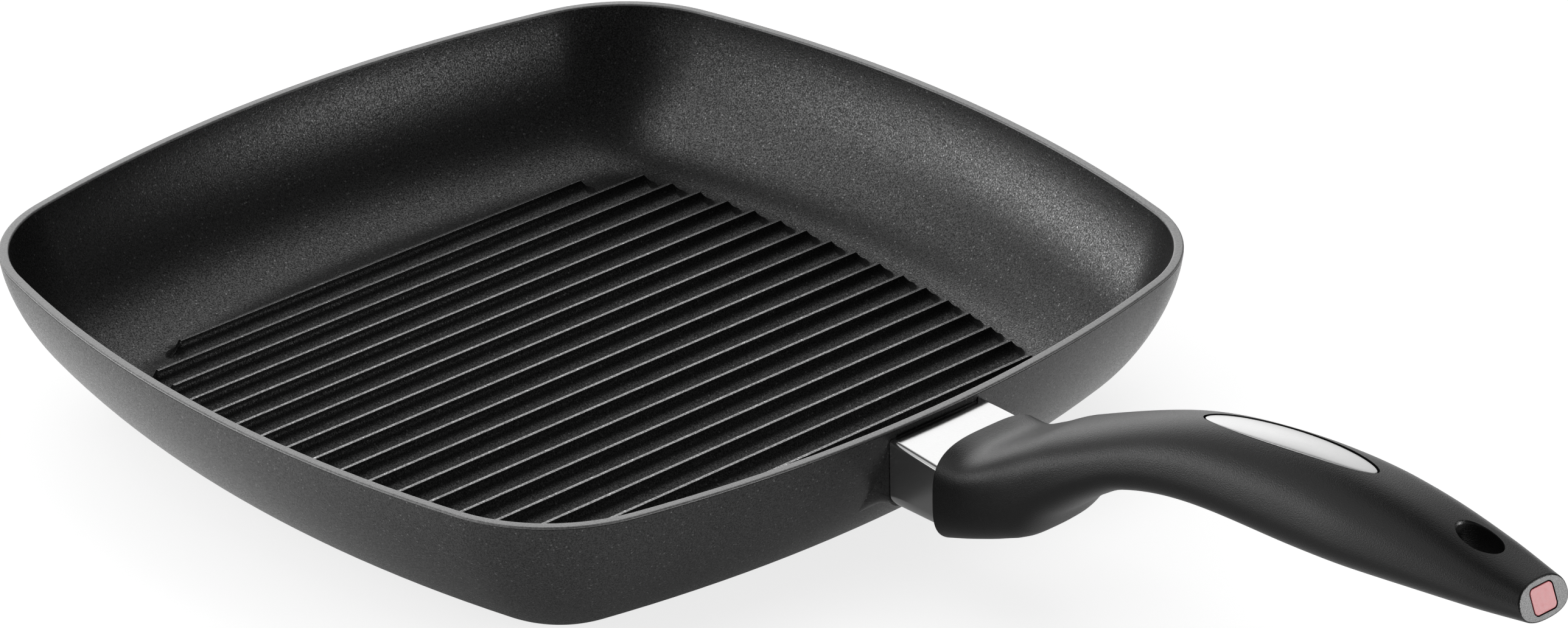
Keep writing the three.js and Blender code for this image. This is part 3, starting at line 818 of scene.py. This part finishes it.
# End inlay
# A small rounded plate of red plastic, left plain, with a fine round along its front edge. It is glued into
# the end face of the handle.
INLAY_EDGE = 0.0002
INLAY_REDS = ((0.4, 0.075, 0.085), (0.46, 0.1, 0.11))
inlay = inlay_block("end_plate", 0, -INLAY_THICKNESS, 0, INLAY_EDGE)
smooth(inlay, degrees=40)
inlay.data.materials.append(
    varied_finish("red_plastic", scale=1500, detail=3.0, tones=INLAY_REDS, matt=(0.35, 0.45))
)
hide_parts("end_inlay")
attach(inlay, "root")

# Studio
# A white sweep in soft light: a pale floor that keeps the shadow, bright walls and screens low down, a dim
# ceiling, a small card beside the handle's end and a broad fill overhead.
FLOOR_HALF = 4
FLOOR_DROP = 0.0004
FLOOR_GREY = 0.6
FLOOR_GLOW = 0.79
SHADE_CENTRE = (0.17, -0.12, 0)
SHADE_INNER = 0.07
SHADE_OUTER = 0.27
SHADE_GLOW = 0.09
bpy.ops.object.select_all(action="DESELECT")
bpy.ops.mesh.primitive_plane_add(size=2 * FLOOR_HALF, location=(0, 0, -FLOOR_DROP))
floor = bpy.context.object
floor.name = "floor"
floor_white, tree, shader = finish_of("floor_white")
shader.inputs["Base Color"].default_value = opaque(FLOOR_GREY)
shader.inputs["Roughness"].default_value = 1.0
shader.inputs["Specular IOR Level"].default_value = 0.0


def arithmetic(tree, operation, first, second=0.0):
    """One step of arithmetic on sockets or numbers."""
    node = tree.nodes.new("ShaderNodeMath")
    node.operation = operation
    feed(tree, node.inputs, (first, second))
    return node.outputs[0]


# The camera sees the floor nearly white, and in reflections a painted shade darkens it near the handle, in
# place of the shadow under the pan and handle.
place = tree.nodes.new("ShaderNodeTexCoord")
reach = tree.nodes.new("ShaderNodeVectorMath")
reach.operation = "DISTANCE"
feed(tree, reach.inputs, (place.outputs["Object"], SHADE_CENTRE))
shade = tree.nodes.new("ShaderNodeMapRange")
shade.interpolation_type = "SMOOTHSTEP"
shade.inputs["From Min"].default_value = SHADE_INNER
shade.inputs["From Max"].default_value = SHADE_OUTER
shade.inputs["To Min"].default_value = SHADE_GLOW
tree.links.new(reach.outputs["Value"], shade.inputs["Value"])
path = tree.nodes.new("ShaderNodeLightPath")
mirrored = arithmetic(tree, "MULTIPLY", path.outputs["Is Glossy Ray"], shade.outputs["Result"])
through = arithmetic(tree, "MAXIMUM", path.outputs["Is Camera Ray"], path.outputs["Is Transmission Ray"])
seen = arithmetic(tree, "MAXIMUM", through, mirrored)
level = arithmetic(tree, "MULTIPLY", seen, FLOOR_GLOW)
shader.inputs["Emission Color"].default_value = opaque(1)
tree.links.new(level, shader.inputs["Emission Strength"])
floor.data.materials.append(floor_white)

# Each soft light of the room is its middle's azimuth and elevation, its half angle and its strength. It
# fades like a bell with a flat top.
ROOM_LEVEL = 0.03
SOFT_LIGHTS = {
    "white wall behind": (150, 16, 28, 1.8),
    "corner of wall and screen": (180, 22, 20, 0.7),
    "far end of the left screen": (206, 2, 10, 4.5),
    "middle of the left screen": (219, 2, 10, 3.4),
    "near end of the left screen": (236, 8, 15, 1.4),
    "glow above the left screen": (238, 44, 26, 0.8),
    "low front left": (270, 3, 20, 0.2),
    "low right screen": (25, 0, 15, 1.8),
    "ceiling edge": (104, 52, 28, 0.5),
}
world = bpy.data.worlds.new("studio")
scene.world = world
world.use_nodes = True
tree = world.node_tree
direction = tree.nodes.new("ShaderNodeTexCoord")
glow = ROOM_LEVEL
for azimuth, elevation, half_angle, strength in SOFT_LIGHTS.values():
    azimuth, elevation = math.radians(azimuth), math.radians(elevation)
    middle = (
        math.cos(azimuth) * math.cos(elevation), math.sin(azimuth) * math.cos(elevation), math.sin(elevation)
    )
    towards = tree.nodes.new("ShaderNodeVectorMath")
    towards.operation = "DOT_PRODUCT"
    feed(tree, towards.inputs, (direction.outputs["Generated"], middle))
    away = arithmetic(tree, "SUBTRACT", towards.outputs["Value"], 1.0)
    share = arithmetic(tree, "DIVIDE", away, 1 - math.cos(math.radians(half_angle)))
    fall = arithmetic(tree, "MULTIPLY", arithmetic(tree, "POWER", share, 2.0), -1.0)
    patch = arithmetic(tree, "EXPONENT", fall)
    glow = arithmetic(tree, "ADD", arithmetic(tree, "MULTIPLY", patch, strength), glow)
tree.links.new(glow, tree.nodes["Background"].inputs["Color"])

LAMP_CENTRE = Vector((0.05, 0, 0.04))
END_CARD_FACING = Vector((0.795, 0.598, 0.129))
END_CARD_SPREAD = math.radians(50)


def softbox(name, direction, distance, size, watts):
    """A square area lamp that faces the pan."""
    towards = Vector(direction).normalized()
    bpy.ops.object.select_all(action="DESELECT")
    bpy.ops.object.light_add(type="AREA", location=LAMP_CENTRE + distance * towards)
    lamp = bpy.context.object
    lamp.name = lamp.data.name = name
    lamp.rotation_euler = towards.to_track_quat("Z", "Y").to_euler()
    lamp.data.shape = "SQUARE"
    lamp.data.size = size
    lamp.data.energy = watts
    return lamp


end_card = softbox("end_card", direction=(0.383, 0.072, 0.05), distance=0.395, size=0.08, watts=0.02)
end_card.rotation_euler = END_CARD_FACING.to_track_quat("Z", "Y").to_euler()
end_card.data.spread = END_CARD_SPREAD
fill = softbox("top_fill", direction=(0, 0, 1), distance=2.0, size=2.0, watts=7)
fill.visible_glossy = False
